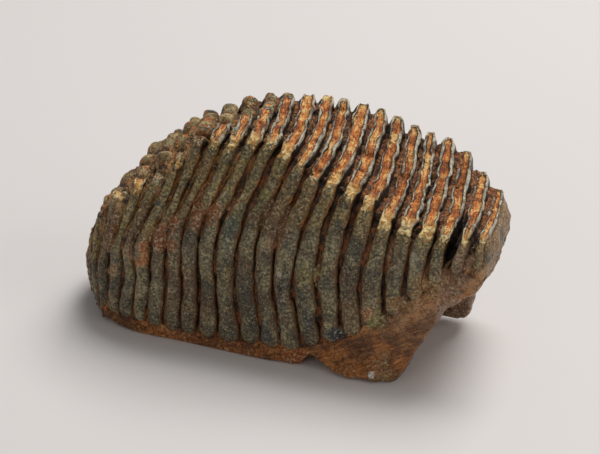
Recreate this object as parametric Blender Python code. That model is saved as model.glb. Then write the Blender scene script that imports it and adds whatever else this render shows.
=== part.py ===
"""Fossil mammoth molar: one solid of fused tooth plates above a worn root.

The driving dimensions are in millimetres and become metres when the mesh is made.
X runs along the tooth from its rounded rear end to its front, Y from the near side
to the far side, and Z up from the surface on which the tooth lies.
A plate number counts the plates from the rear, and half numbers are the gaps between them.
"""

import bmesh
import bpy
import numpy as np

# Driving dimensions
MM = 0.001
PLATES = 24
HALF_WIDTH = 47.0
SEED = 24

# Where each plate stands at its foot and at its two top rims: (plate number, X)
FOOT_X = [
    (-0.5, -122), (0, -119), (1, -114), (2, -108.5), (3, -102), (4, -93), (5, -84.5), (6, -73.5),
    (7, -63.5), (8, -53.5), (9, -44), (10, -33.5), (11, -22), (12, -10.5), (13, 0.8), (14, 13.5),
    (15, 26), (16, 38.5), (17, 51.5), (18, 64), (19, 75.5), (20, 86.5), (21, 98), (22, 108.5), (23, 119.5),
    (23.5, 122.8),
]
NEAR_RIM_X = [
    (-0.5, -121), (0, -118.5), (1, -113), (2, -105), (3, -93.5), (4, -79.5), (5, -68.5), (6, -56),
    (7, -43), (8, -34), (9, -23.5), (10, -13), (11, -2), (12, 7.5), (13, 15.5), (14, 25), (15, 35),
    (16, 45.5), (17, 56), (18, 66), (19, 79.5), (20, 91), (21, 102), (22, 113), (23, 120.5),
    (23.5, 122.5),
]
FAR_RIM_X = [
    (-0.5, -120.5), (0, -117.5), (1, -112.5), (2, -107), (3, -99), (5, -80), (7, -58.5), (9, -32.5),
    (11, -8.5), (13, 14), (15, 35.5), (17, 55.3), (19, 74.8), (21, 95), (23, 115.5), (23.5, 118),
]

# How far the plates curve to the rear at their feet, and the heights between which they do: (plate number, X)
FOOT_BEND = [(0, 0), (2, 0.5), (3, 1.5), (4, 3.4), (6, 4.8), (9, 4.6), (11, 0), (23, 0)]
FOOT_BEND_HEIGHTS = (46, 10)

# How far the middle of each plate bows to the front: (plate number, X)
BOW = [(0, -4), (3, -3.5), (5, 0), (8, 4), (12, 6), (16, 6), (18, 5), (20, 3.5), (22, 2), (23, 2.4)]

# Heights of the grinding face, of the side bulge and of the ends of the ribs: (plate number, Z)
NEAR_RIM_Z = [
    (-0.5, 38), (0, 45), (1, 60), (2, 75), (3, 86), (4, 95), (5, 102), (6, 110), (7, 125), (8, 127.5),
    (9, 129), (10, 131), (11, 130.5), (12, 128), (13, 122), (14, 118.5), (15, 116), (16, 112), (17, 106),
    (18, 100), (19, 98.5), (21, 97.5), (23, 96),
]
FAR_RIM_Z = [
    (-0.5, 34), (0, 40), (1, 52), (2, 63), (3, 72), (4, 90), (5, 97.5), (7, 111.5), (8, 123), (9, 130.5),
    (11, 136), (13, 137.5), (15, 136.5), (17, 129.5), (19, 123), (21, 114.5), (22, 99.5), (23, 89.5),
]
CAMBER = [(0, 2.5), (3, 6.5), (5, 11), (8, 7), (11, 1.5), (14, -1), (18, -2.5), (23, -1)]
BULGE_Z = [
    (0, 28), (3, 44), (4, 54), (5, 58), (6, 66), (7, 71), (8, 79), (10, 84), (12, 89), (14, 86),
    (16, 88), (19, 86), (22, 82), (23, 74),
]
RIB_FOOT_Z = [
    (-0.5, 23), (0, 17), (1, 11.5), (2, 9), (3, 8), (5, 7.5), (8, 6.5), (11, 7), (13, 8), (14, 9.5),
    (15, 14), (16, 20), (17, 26), (18, 33), (19, 44), (20, 57), (21, 67), (22, 74), (23, 77),
]

# Heights of the underside along the near root, the middle and the far root: (plate number, Z)
REAR_BASE_Z = [
    (-0.5, 21), (0, 13), (1, 7), (2, 3.6), (3, 2), (4, 1), (5.5, 0.3), (6.5, 0), (14.2, 0),
]
BASE_Z = {
    "near": REAR_BASE_Z + [
        (14.6, 5.5), (15.1, 6.5), (15.6, 2.5), (16.1, 0), (17, 0), (17.6, 0.8), (18.1, 0), (18.5, 0),
        (19.2, 5), (19.9, 22), (20.7, 39), (21.3, 50), (22, 56), (23, 64), (23.5, 70),
    ],
    "middle": REAR_BASE_Z + [(15, 6), (16.5, 14), (18, 20), (20, 31), (22, 47), (23, 60), (23.5, 68)],
    "far": [
        (-0.5, 22), (0, 14), (1, 9), (2, 7), (3, 5.5), (5, 3.8), (8, 2.8), (14.2, 2.8), (15.2, 6),
        (16.5, 10), (18, 16), (19.2, 19), (19.8, 12), (20.3, 10), (20.9, 12), (21.45, 17), (21.65, 31),
        (22.1, 40), (23, 58), (23.5, 66),
    ],
}
UNDERSIDE = (
    (-0.84, "near"), (-0.6, "near"), (-0.36, "middle"), (0.28, "middle"), (0.38, "far"), (0.6, "far"),
)

# Width of each plate as a share of the full width: (plate number, share)
WIDTH = [
    (-0.5, 0.24), (0, 0.37), (1, 0.55), (2, 0.7), (3, 0.81), (4, 0.89), (6, 0.98), (8, 1), (20, 1),
    (22, 0.96), (23, 0.91), (23.5, 0.84),
]

# Side walls of a full plate: (Z, distance from the middle)
NEAR_SIDE = [
    (0, 43), (3, 45), (9, 45.5), (25, 46), (45, 46.8), (60, 47), (70, 45.5), (82, 40.5), (95, 35.5),
    (110, 30.5), (125, 26), (140, 21.5),
]
FAR_SIDE = [
    (0, 30), (3, 34), (10, 37), (30, 43), (50, 46.5), (65, 47), (85, 44), (105, 39), (125, 33.5),
    (140, 29),
]

# Ribs, the grooves between them, and the step down from the ribs to the root
RIB_STATIONS = (-0.33, -0.14, 0.14, 0.33, 0.5)
RIB_RELIEF = (0.24, 0.0, 0.0, 0.24, 1.0)
SIDE_GROOVE = 5.2
OPEN_GROOVES = {21: 6.5, 22: 3.5}
ROOT_STEP = 2.4
FOOT_LEDGE = 4.0
LOWER_EDGE = 1.5
SHORTEST_RIB = 12.0
SIDE_LEVELS = (0.25, 0.45, 0.63, 0.82)

# Gaps between the plates on the grinding face, and the clefts between the knobs of an unworn plate
TOP_POINTS = 11
TOP_GAP = [(0, 6), (4, 11), (8, 10), (12, 8.5), (23, 7.5)]
KNOB_CLEFT = [(0, 2), (2, 5), (7, 6), (9, 4), (11, 1.2), (13, 0), (23, 0)]
RIM_DROP = 1.0
RIM_INSET = 0.6
RIM_GAP = 0.7

# Natural unevenness from plate to plate
HEIGHT_NOISE = 1.4
RIB_NOISE = 0.7
PLACE_NOISE = 0.6
WAVE = {"height": 0.7, "length": 15.0, "phase": 3.0}

# Rounded ends: (how far past the last ring, size as a share of that ring)
REAR_END = ((-1.8, 0.66), (-2.6, 0.0))
FRONT_END = ((2.4, 0.7), (3.4, 0.0))

# Brings the middle of the bounding box onto the Z axis
CENTRE = (0.845, 0.15, 0.0)


def along(keys, at):
    """The value at one place, read from a smooth curve through the (place, value) keys."""
    places, values = np.array(keys, float).T
    slopes = np.gradient(values, places)
    index = np.clip(np.searchsorted(places, at, side="right") - 1, 0, len(places) - 2)
    gap = places[index + 1] - places[index]
    part = np.clip((at - places[index]) / gap, 0, 1)
    left, right = values[index], values[index + 1]
    rise = (right - left) / gap
    bend = part * (1 - part) * gap
    straight = left + (right - left) * part
    return straight + bend * ((1 - part) * (slopes[index] - rise) - part * (slopes[index + 1] - rise))


def stations():
    """(plate number, share of the groove's depth) of each ring, from the rear to the front."""
    rings = [(-0.5, 1.0)]
    for plate in range(PLATES):
        rings += [(plate + offset, relief) for offset, relief in zip(RIB_STATIONS, RIB_RELIEF)]
    return rings


def plate_noise(number, amount, seed):
    """A small offset of its own for each plate, shared between two plates in their gap."""
    offsets = np.random.default_rng(SEED + seed).uniform(-amount, amount, PLATES)
    return np.interp(number, np.arange(PLATES), offsets)


def rims(number):
    """(Y, Z) of the near rim and of the far rim of the grinding face."""
    width = along(WIDTH, number)
    near_z = along(NEAR_RIM_Z, number)
    far_z = along(FAR_RIM_Z, number)
    return (-width * along(NEAR_SIDE, near_z), near_z), (width * along(FAR_SIDE, far_z), far_z)


def side_wall(profile, number, base, top, groove, gap):
    """(distance from the middle, Z) from the lower edge up to the rim."""
    width = along(WIDTH, number)
    foot = along(RIB_FOOT_Z, number)
    ledge = min(foot + FOOT_LEDGE, top - SHORTEST_RIB)
    root_levels = (base + LOWER_EDGE, (base + foot) / 2 + 1, foot)
    rib_levels = [ledge] + [ledge + (top - ledge) * share for share in SIDE_LEVELS]
    wall = [(width * (along(profile, z) - ROOT_STEP), z) for z in root_levels]
    wall += [(width * (along(profile, z) - groove), z) for z in rib_levels]
    wall.append((width * (along(profile, top) - RIM_INSET * groove), top - RIM_GAP * gap - RIM_DROP))
    return wall


def top_line(number, gap, relief, height):
    """(Y, Z) of the points between the two rims: a smooth worn edge, or a row of knobs."""
    (near_y, near_z), (far_y, far_z) = rims(number)
    line = []
    for step in range(1, TOP_POINTS + 1):
        share = step / (TOP_POINTS + 1)
        z = near_z + (far_z - near_z) * share + height - gap
        z += along(CAMBER, number) * 4 * share * (1 - share)
        if step % 2 == 0:
            z -= along(KNOB_CLEFT, number) * (1 - relief)
        line.append((near_y + (far_y - near_y) * share, z))
    return line


def section(number, relief):
    """The (Y, Z) outline of one ring: the underside, the near wall, the top and the far wall."""
    height = plate_noise(number, HEIGHT_NOISE, 1)
    groove = SIDE_GROOVE * relief + plate_noise(number, RIB_NOISE, 2) * (1 - relief)
    if relief == 1.0:
        groove += OPEN_GROOVES.get(int(number), 0.0)
    gap = along(TOP_GAP, number) * relief
    base = {name: max(along(keys, number), 0.0) for name, keys in BASE_Z.items()}
    half_width = along(WIDTH, number) * HALF_WIDTH
    near_z, far_z = (rim[1] + height for rim in rims(number))
    outline = [(half_width * share, base[name]) for share, name in reversed(UNDERSIDE)]
    outline += [(-y, z) for y, z in side_wall(NEAR_SIDE, number, base["near"], near_z, groove, gap)]
    outline += top_line(number, gap, relief, height)
    outline += reversed(side_wall(FAR_SIDE, number, base["far"], far_z, groove, gap))
    return outline


def plate_x(number, y, z):
    """X of a point of a plate: upright and bowed below, and leaning to its rims above the bulge."""
    (near_y, near_z), (far_y, far_z) = rims(number)
    bow = along(BOW, number)
    foot = along(FOOT_X, number)
    near_lean = along(NEAR_RIM_X, number) - foot - bow * (1 - (near_y / HALF_WIDTH) ** 2)
    far_lean = along(FAR_RIM_X, number) - foot - bow * (1 - (far_y / HALF_WIDTH) ** 2)
    share = np.clip((y - near_y) / (far_y - near_y), 0, 1)
    lean = near_lean + (far_lean - near_lean) * share
    bulge = along(BULGE_Z, number)
    rim_z = near_z + (far_z - near_z) * share
    rise = np.clip((z - bulge) / (rim_z - bulge), 0, 1.1)
    wave = WAVE["height"] * np.sin(z / WAVE["length"] + plate_noise(number, WAVE["phase"], 4))
    top, low = FOOT_BEND_HEIGHTS
    down = np.clip((top - z) / (top - low), 0, 1)
    bend = along(FOOT_BEND, number) * down * down * (3 - 2 * down)
    place = plate_noise(number, PLACE_NOISE, 3)
    return foot + bow * (1 - (y / HALF_WIDTH) ** 2) + lean * rise + wave + place - bend


def tooth_rings():
    """One array of points for each ring."""
    rings = []
    for number, relief in stations():
        points = [(plate_x(number, y, z), y, z) for y, z in section(number, relief)]
        rings.append(np.array(points) + CENTRE)
    return rings


def join_rings(mesh, first, second):
    """Faces between two rings, the second of which may be one point repeated."""
    count = len(first)
    for index in range(count):
        after = (index + 1) % count
        corners = dict.fromkeys((first[index], second[index], second[after], first[after]))
        mesh.faces.new(list(corners))


def close_end(mesh, ring, points, end):
    """Rounds off one end of the tooth with a smaller copy of its last ring and a point."""
    centre = points.mean(axis=0)
    for past, size in end:
        moved = centre + (points - centre) * size + (past, 0, 0)
        inner = [mesh.verts.new(point * MM) for point in moved] if size else [mesh.verts.new(moved[0] * MM)]
        if len(inner) == 1:
            inner *= len(ring)
        join_rings(mesh, ring, inner)
        ring = inner


def make_tooth():
    """The mesh of the whole tooth."""
    rings = tooth_rings()
    mesh = bmesh.new()
    made = [[mesh.verts.new(point * MM) for point in ring] for ring in rings]
    for first, second in zip(made, made[1:]):
        join_rings(mesh, first, second)
    close_end(mesh, made[0], rings[0], REAR_END)
    close_end(mesh, made[-1], rings[-1], FRONT_END)
    bmesh.ops.recalc_face_normals(mesh, faces=mesh.faces)
    bmesh.ops.triangulate(mesh, faces=mesh.faces)
    data = bpy.data.meshes.new("mammoth_molar")
    mesh.to_mesh(data)
    mesh.free()
    return data


def fossil_material():
    """Dull grey-brown mineralised tooth."""
    material = bpy.data.materials.new("fossil_tooth")
    material.use_nodes = True
    shader = material.node_tree.nodes["Principled BSDF"]
    shader.inputs["Base Color"].default_value = (0.105, 0.072, 0.038, 1)
    shader.inputs["Roughness"].default_value = 0.62
    shader.inputs["Metallic"].default_value = 0.0
    return material


def main():
    for old in list(bpy.data.objects):
        bpy.data.objects.remove(old, do_unlink=True)
    data = make_tooth()
    data.materials.append(fossil_material())
    tooth = bpy.data.objects.new("mammoth_molar", data)
    bpy.context.scene.collection.objects.link(tooth)


main()
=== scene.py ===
import math

import bpy
import numpy as np
from mathutils import Matrix, Vector


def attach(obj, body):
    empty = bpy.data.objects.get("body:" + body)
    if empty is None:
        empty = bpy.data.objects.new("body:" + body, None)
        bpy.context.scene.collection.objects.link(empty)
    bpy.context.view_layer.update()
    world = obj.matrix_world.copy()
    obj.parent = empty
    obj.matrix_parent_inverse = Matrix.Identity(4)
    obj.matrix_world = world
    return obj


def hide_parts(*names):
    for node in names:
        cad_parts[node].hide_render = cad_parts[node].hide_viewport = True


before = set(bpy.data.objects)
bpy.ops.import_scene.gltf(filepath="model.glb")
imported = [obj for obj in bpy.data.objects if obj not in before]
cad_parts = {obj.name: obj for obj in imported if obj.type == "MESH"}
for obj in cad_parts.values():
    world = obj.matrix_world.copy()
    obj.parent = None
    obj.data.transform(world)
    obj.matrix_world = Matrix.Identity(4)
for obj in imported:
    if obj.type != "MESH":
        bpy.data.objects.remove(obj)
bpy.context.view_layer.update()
mm = 0.001

# The overall form in millimetres, as in the CAD solid. A list of pairs gives a value by plate number, from
# the rearmost, 0, to the foremost, 23, but nearSide and farSide give the half width by height
form = {
    "plates": 24, "halfWidth": 47.0, "seed": 24, "centreX": 0.845,
    # where each plate's foot and its near and far rims stand along the tooth
    "footX": [
        (-0.5, -122), (0, -119), (1, -114), (2, -108.5), (3, -102), (4, -93), (5, -84.5), (6, -73.5),
        (7, -63.5), (8, -53.5), (9, -44), (10, -33.5), (11, -22), (12, -10.5), (13, 0.8), (14, 13.5),
        (15, 26), (16, 38.5), (17, 51.5), (18, 64), (19, 75.5), (20, 86.5), (21, 98), (22, 108.5),
        (23, 119.5), (23.5, 122.8),
    ],
    "nearRimX": [
        (-0.5, -121), (0, -118.5), (1, -113), (2, -105), (3, -93.5), (4, -79.5), (5, -68.5), (6, -56),
        (7, -43), (8, -34), (9, -23.5), (10, -13), (11, -2), (12, 7.5), (13, 15.5), (14, 25), (15, 35),
        (16, 45.5), (17, 56), (18, 66), (19, 79.5), (20, 91), (21, 102), (22, 113), (23, 120.5),
        (23.5, 122.5),
    ],
    "farRimX": [
        (-0.5, -120.5), (0, -117.5), (1, -112.5), (2, -107), (3, -99), (5, -80), (7, -58.5), (9, -32.5),
        (11, -8.5), (13, 14), (15, 35.5), (17, 55.3), (19, 74.8), (21, 95), (23, 115.5), (23.5, 118),
    ],
    # how far the middle of each plate stands ahead of its sides
    "bow": [(0, -4), (3, -3.5), (5, 0), (8, 4), (12, 6), (16, 6), (18, 5), (20, 3.5), (22, 2), (23, 2.4)],
    # how far the plates curve to the rear at their feet, and the heights between which they do
    "footBend": [(0, 0), (2, 0.5), (3, 1.5), (4, 3.4), (6, 4.8), (9, 4.6), (11, 0), (23, 0)],
    "bendHeights": (46, 10),
    # the heights of the rims, and how far the top rises between them
    "nearRimZ": [
        (-0.5, 38), (0, 45), (1, 60), (2, 75), (3, 86), (4, 95), (5, 102), (6, 110), (7, 125),
        (8, 127.5), (9, 129), (10, 131), (11, 130.5), (12, 128), (13, 122), (14, 118.5), (15, 116),
        (16, 112), (17, 106), (18, 100), (19, 98.5), (21, 97.5), (23, 96),
    ],
    "farRimZ": [
        (-0.5, 34), (0, 40), (1, 52), (2, 63), (3, 72), (4, 90), (5, 97.5), (7, 111.5), (8, 123),
        (9, 130.5), (11, 136), (13, 137.5), (15, 136.5), (17, 129.5), (19, 123), (21, 114.5), (22, 99.5),
        (23, 89.5),
    ],
    "camber": [(0, 2.5), (3, 6.5), (5, 11), (8, 7), (11, 1.5), (14, -1), (18, -2.5), (23, -1)],
    # the height above which the plates lean, and the height at which the ribs end above the root
    "bulgeZ": [
        (0, 28), (3, 44), (4, 54), (5, 58), (6, 66), (7, 71), (8, 79), (10, 84), (12, 89), (14, 86),
        (16, 88), (19, 86), (22, 82), (23, 74),
    ],
    "ribFootZ": [
        (-0.5, 23), (0, 17), (1, 11.5), (2, 9), (3, 8), (5, 7.5), (8, 6.5), (11, 7), (13, 8), (14, 9.5),
        (15, 14), (16, 20), (17, 26), (18, 33), (19, 44), (20, 57), (21, 67), (22, 74), (23, 77),
    ],
    # the share of the full width at each plate
    "width": [
        (-0.5, 0.24), (0, 0.37), (1, 0.55), (2, 0.7), (3, 0.81), (4, 0.89), (6, 0.98), (8, 1), (20, 1),
        (22, 0.96), (23, 0.91), (23.5, 0.84),
    ],
    "nearSide": [
        (0, 43), (3, 45), (9, 45.5), (25, 46), (45, 46.8), (60, 47), (70, 45.5), (82, 40.5), (95, 35.5),
        (110, 30.5), (125, 26), (140, 21.5),
    ],
    "farSide": [
        (0, 30), (3, 34), (10, 37), (30, 43), (50, 46.5), (65, 47), (85, 44), (105, 39), (125, 33.5),
        (140, 29),
    ],
    # how far the base band and the foot of the near root flare out, and up to what height
    "flare": [
        (-0.5, 0), (2, 1), (4, 3), (8, 3.6), (13, 4), (14.4, 2.4), (15.4, 1.4), (16.4, 4.6), (17.4, 5.4),
        (18.4, 5.6), (19.4, 4), (20.2, 1.5), (21, 0), (23.5, 0),
    ],
    "flareTop": [(-0.5, 9), (14, 9), (17, 20), (19, 24), (23.5, 24)],
    # how deep the clefts between the knobs of the unworn tops are
    "knobCleft": [(0, 2), (2, 5), (7, 6), (9, 4), (11, 1.2), (13, 0), (23, 0)],
    "heightNoise": 1.4, "ribNoise": 0.7, "placeNoise": 0.6,
    "waveHeight": 0.7, "waveLength": 15.0, "wavePhase": 3.0, "leanPastRim": 1.1,
}
# The height of the underside at the near side, in the middle and at the far side, by plate number
rearBase = [  # the same at the near side and in the middle
    (-0.5, 21), (0, 13), (1, 7), (2, 3.6), (3, 2), (4, 1), (5.5, 0.3), (6.5, 0), (14.2, 0),
]
base = {
    "near": rearBase + [
        (14.6, 5.5), (15.1, 6.5), (15.6, 2.5), (16.1, 0), (17, 0), (17.6, 0.8), (18.1, 0), (18.8, 0),
        (19.35, 3.5), (19.95, 18), (20.7, 37), (21.3, 50), (22, 56), (23, 64), (23.5, 70),
    ],
    "middle": rearBase + [(15, 6), (16.5, 14), (18, 20), (20, 31), (22, 47), (23, 60), (23.5, 68)],
    "far": [
        (-0.5, 22), (0, 14), (1, 9), (2, 7), (3, 5.5), (5, 3.8), (8, 2.8), (14.2, 2.8), (15.2, 6),
        (16.5, 10), (18, 16), (19.1, 17), (19.6, 10), (20.2, 7.8), (21.0, 8.6), (21.55, 13), (21.85, 25),
        (22.4, 40), (23, 56), (23.5, 66),
    ],
    # which height holds where across the underside, in shares of the half width
    "across": [
        (-0.84, "near"), (-0.6, "near"), (-0.36, "middle"), (0.28, "middle"), (0.38, "far"), (0.6, "far"),
    ],
}


def along(keys, at):
    # a smooth curve through the pairs
    places, values = np.array(keys, float).T
    slopes = np.gradient(values, places)
    index = np.clip(np.searchsorted(places, at, side="right") - 1, 0, len(places) - 2)
    gap = places[index + 1] - places[index]
    part = np.clip((at - places[index]) / gap, 0, 1)
    left, right = values[index], values[index + 1]
    rise = (right - left) / gap
    bend = part * (1 - part) * gap
    straight = left + (right - left) * part
    return straight + bend * ((1 - part) * (slopes[index] - rise) - part * (slopes[index + 1] - rise))


def plateNoise(number, amount, seed):
    # a random offset for each plate, blended between plates
    offsets = np.random.default_rng(form["seed"] + seed).uniform(-amount, amount, form["plates"])
    return np.interp(number, np.arange(form["plates"]), offsets)


def smooth(low, high, value):
    # from 0 at low to 1 at high
    part = np.clip((value - low) / (high - low), 0, 1)
    return part * part * (3 - 2 * part)


def hump(value, middle, reach):
    return np.exp(-(((value - middle) / reach) ** 2))


def flareOf(number, height):
    # how far the near side stands out at this height
    return along(form["flare"], number) * smooth(along(form["flareTop"], number), 0, height)


def rims(number):
    # (y, z) of the near and of the far rim
    width = along(form["width"], number)
    nearZ = along(form["nearRimZ"], number)
    farZ = along(form["farRimZ"], number)
    return (-width * along(form["nearSide"], nearZ), nearZ), (width * along(form["farSide"], farZ), farZ)


def plateX(number, y, z):
    # where a plate, or the gap half a number on, stands along the tooth at this y and z
    (nearY, nearZ), (farY, farZ) = rims(number)
    half = form["halfWidth"]
    bow = along(form["bow"], number)
    foot = along(form["footX"], number)
    nearLean = along(form["nearRimX"], number) - foot - bow * (1 - (nearY / half) ** 2)
    farLean = along(form["farRimX"], number) - foot - bow * (1 - (farY / half) ** 2)
    share = np.clip((y - nearY) / (farY - nearY), 0, 1)
    lean = nearLean + (farLean - nearLean) * share
    bulge = along(form["bulgeZ"], number)
    rimZ = nearZ + (farZ - nearZ) * share
    rise = np.clip((z - bulge) / (rimZ - bulge), 0, form["leanPastRim"])
    phase = plateNoise(number, form["wavePhase"], 4)
    wave = form["waveHeight"] * np.sin(z / form["waveLength"] + phase)
    place = plateNoise(number, form["placeNoise"], 3)
    bend = along(form["footBend"], number) * smooth(*form["bendHeights"], z)
    return foot + bow * (1 - (y / half) ** 2) + lean * rise + wave + place - bend + form["centreX"]


def onPlate(number, line):
    # a (y, z) line as points on the plate's curved middle
    y, z = line.T
    return np.stack([plateX(number, y, z), y, z], 1)


def topHeight(number, share):
    # the height of the top between the near rim, share 0, and the far one, share 1
    nearZ, farZ = along(form["nearRimZ"], number), along(form["farRimZ"], number)
    height = plateNoise(number, form["heightNoise"], 1)
    return nearZ + (farZ - nearZ) * share + height + along(form["camber"], number) * 4 * share * (1 - share)


def sideLine(number, side, low, high, step, inset):
    # (y, z) up one side of the tooth
    heights = np.arange(low, high, step)
    width = along(form["width"], number) * (-1 if side == "nearSide" else 1)
    return np.stack([width * (along(form[side], heights) - inset), heights], 1)


# Noise between -1 and 1 on a lattice that repeats. The last number of each call is its seed
lumpy = {"cells": 32, "seed": 7, "seedStep": 7.31, "lineSteps": (5.37, 1.91), "finerShare": 0.55}
lattice = np.random.default_rng(lumpy["seed"]).uniform(-1, 1, (lumpy["cells"],) * 3)


def noise(points, size, seed=0):
    place = np.asarray(points) / size + seed * lumpy["seedStep"]
    cell = np.floor(place).astype(int)
    part = place - cell
    part = part * part * (3 - 2 * part)
    total = 0.0
    for corner in range(8):
        step = np.array([corner & 1, corner >> 1 & 1, corner >> 2 & 1])
        index = (cell + step) % lumpy["cells"]
        weight = np.where(step, part, 1 - part).prod(axis=-1)
        total = total + weight * lattice[index[..., 0], index[..., 1], index[..., 2]]
    return total


def roughness(points, size, octaves, seed=0):
    # noise with finer noise on it
    total = 0.0
    for octave in range(octaves):
        finer = noise(points, size / 2**octave, seed + octave * 3)
        total = total + finer * lumpy["finerShare"] ** octave
    return total


def lineNoise(places, line, size, seed=0):
    # noise along one bar, different for each line number
    apart = [places * 0 + line * step for step in lumpy["lineSteps"]]
    return noise(np.stack([places, *apart], 1), size, seed)


def relief(points, heightAndSize, octaves, seed):
    height, size = heightAndSize
    return roughness(points, size, octaves, seed) * height


def lineRelief(places, line, heightAndSize, seed):
    height, size = heightAndSize
    return lineNoise(places, line, size, seed) * height


def blur(values, sigma):
    # smooths the rows of values, with sigma counted in rows
    reach = int(math.ceil(3 * sigma))
    weights = np.exp(-0.5 * (np.arange(-reach, reach + 1) / sigma) ** 2)
    padded = np.concatenate([np.repeat(values[:1], reach, 0), values, np.repeat(values[-1:], reach, 0)])
    return np.apply_along_axis(lambda line: np.convolve(line, weights / weights.sum(), "valid"), 0, padded)


def lengthOf(line):
    return np.concatenate([[0], np.cumsum(np.linalg.norm(np.diff(line, axis=0), axis=1))])


def sample(line, length, places):
    return np.stack([np.interp(places, length, column) for column in line.T], 1)


def resample(line, count):
    length = lengthOf(line)
    return sample(line, length, np.linspace(0, length[-1], count))


def linear(value):
    # one channel from sRGB, 0 to 255
    share = value / 255
    return share / 12.92 if share <= 0.04045 else ((share + 0.055) / 1.055) ** 2.4


def palette(colours):
    return {name: (*map(linear, values), 1) for name, values in colours.items()}


stainColours = palette({
    "rust": (146, 82, 36), "orange": (178, 106, 46), "ember": (168, 88, 30), "brown": (116, 82, 48),
    "tan": (158, 122, 76), "clay": (156, 114, 64), "mauve": (150, 116, 90), "pink": (168, 116, 70),
    "straw": (206, 172, 112), "pale": (176, 158, 116), "white": (200, 190, 168),
    "mineral": (252, 248, 238), "lime": (140, 128, 70), "olive": (122, 104, 52), "teal": (82, 92, 74),
    "slate": (84, 78, 58), "blue": (50, 64, 72), "black": (14, 12, 10),
})
# Stains and patches of the near side: (plate, height, reach in plates, reach in mm, strength, colour)
stains = [
    (3.1, 64, 0.5, 20, 0.75, "brown"), (3.3, 76, 0.3, 8, 0.6, "tan"), (3.8, 40, 0.4, 5, 1.0, "tan"),
    (5.2, 70, 0.5, 20, 0.8, "brown"), (5.2, 57, 0.35, 12, 0.8, "tan"), (5.2, 44, 0.3, 7, 0.7, "olive"),
    (6.1, 56, 0.4, 9, 1.0, "orange"), (6.1, 58, 0.14, 1.6, 1.0, "black"), (6.3, 71, 0.35, 6, 0.9, "tan"),
    (6.4, 82, 0.3, 6, 0.7, "tan"), (7.1, 70, 0.45, 7, 0.9, "rust"), (7.8, 78, 0.5, 8, 1.0, "rust"),
    (8.0, 68, 0.35, 5, 0.9, "rust"), (8.6, 90, 0.3, 9, 0.7, "rust"), (9.1, 84, 0.4, 4, 0.9, "rust"),
    (9.9, 88, 0.5, 6, 1.0, "rust"), (10.6, 92, 0.3, 6, 0.6, "rust"), (11.0, 81, 0.3, 10, 0.8, "teal"),
    (11.2, 52, 0.2, 8, 0.9, "olive"), (11.2, 38, 0.12, 1.6, 1.0, "black"), (11.9, 102, 0.3, 4, 1.0, "lime"),
    (12.8, 91, 0.9, 7, 0.8, "brown"), (13.6, 86, 0.8, 6, 0.7, "brown"), (13.2, 80, 0.4, 9, 0.5, "rust"),
    (13.8, 62, 0.1, 1.2, 1.0, "white"), (13.9, 53, 0.13, 3.5, 1.0, "black"),
    (14.0, 44, 0.3, 12, 0.6, "blue"), (12.9, 24, 0.35, 10, 0.6, "blue"), (15.1, 64, 0.4, 6, 0.9, "lime"),
    (15.0, 34, 0.35, 12, 0.5, "blue"), (15.9, 33, 0.25, 3, 1.0, "pale"), (16.3, 28, 0.35, 3.5, 1.0, "blue"),
    (17.2, 40, 0.5, 9, 0.6, "brown"), (17.9, 46, 0.3, 4, 1.0, "pink"), (18.2, 42, 0.3, 5.5, 1.0, "lime"),
    (19.2, 54, 0.5, 7, 0.9, "clay"), (18.8, 84, 0.3, 8, 0.6, "brown"), (19.9, 81, 0.22, 3.5, 0.5, "white"),
    (20.6, 66, 0.6, 7, 0.8, "clay"), (5.9, 88, 0.2, 2.2, 1.0, "blue"), (6.9, 94, 0.12, 1.3, 1.0, "white"),
    (10.0, 100, 0.12, 1.3, 1.0, "white"), (10.9, 100, 0.12, 1.3, 0.9, "white"),
    (22.2, 80, 0.5, 12, 0.8, "mauve"), (23.2, 88, 0.5, 16, 0.7, "tan"), (8.5, 2, 1.4, 5, 0.5, "ember"),
    (11.5, 3, 1.2, 5, 0.6, "ember"), (14.2, 3, 1.0, 8, 1.0, "ember"), (18.6, 5, 0.7, 12, 0.8, "clay"),
    (17.9, 6, 0.13, 1.9, 1.0, "mineral"), (16.9, 4, 0.8, 6, 0.6, "orange"),
    (21.8, 62, 1.0, 10, 0.7, "mauve"),
]
# The height and size of the noise in their edges, its limits, and where stains and the near side fade
stainEdges = {"ragged": (1.5, 6.0), "limits": (0.4, 3), "fade": (1.4, 0.3), "nearSide": (-4, -16)}


def stainOf(number, points):
    # linear colour and strength at each point, with ragged edges
    best = np.zeros(points.shape[:-1])
    colours = np.zeros(points.shape[:-1] + (4,))
    ragged = np.clip(1 + relief(points, stainEdges["ragged"], 4, 71), *stainEdges["limits"])
    nearSide = smooth(*stainEdges["nearSide"], points[..., 1])
    for plate, height, plates, tall, strength, kind in stains:
        reach = ((number - plate) / plates) ** 2 + ((points[..., 2] - height) / tall) ** 2
        here = strength * smooth(*stainEdges["fade"], reach * ragged) * nearSide
        colours = np.where((here > best)[..., None], stainColours[kind], colours)
        best = np.maximum(best, here)
    colours[..., 3] = best
    return colours


def cover(stain, layers):
    # lays each (amount, colour) over the stain where it is the stronger
    for amount, kind in layers:
        more = amount > stain[..., 3]
        stain[more] = stainColours[kind]
        stain[..., 3] = np.where(more, amount, stain[..., 3])


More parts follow.
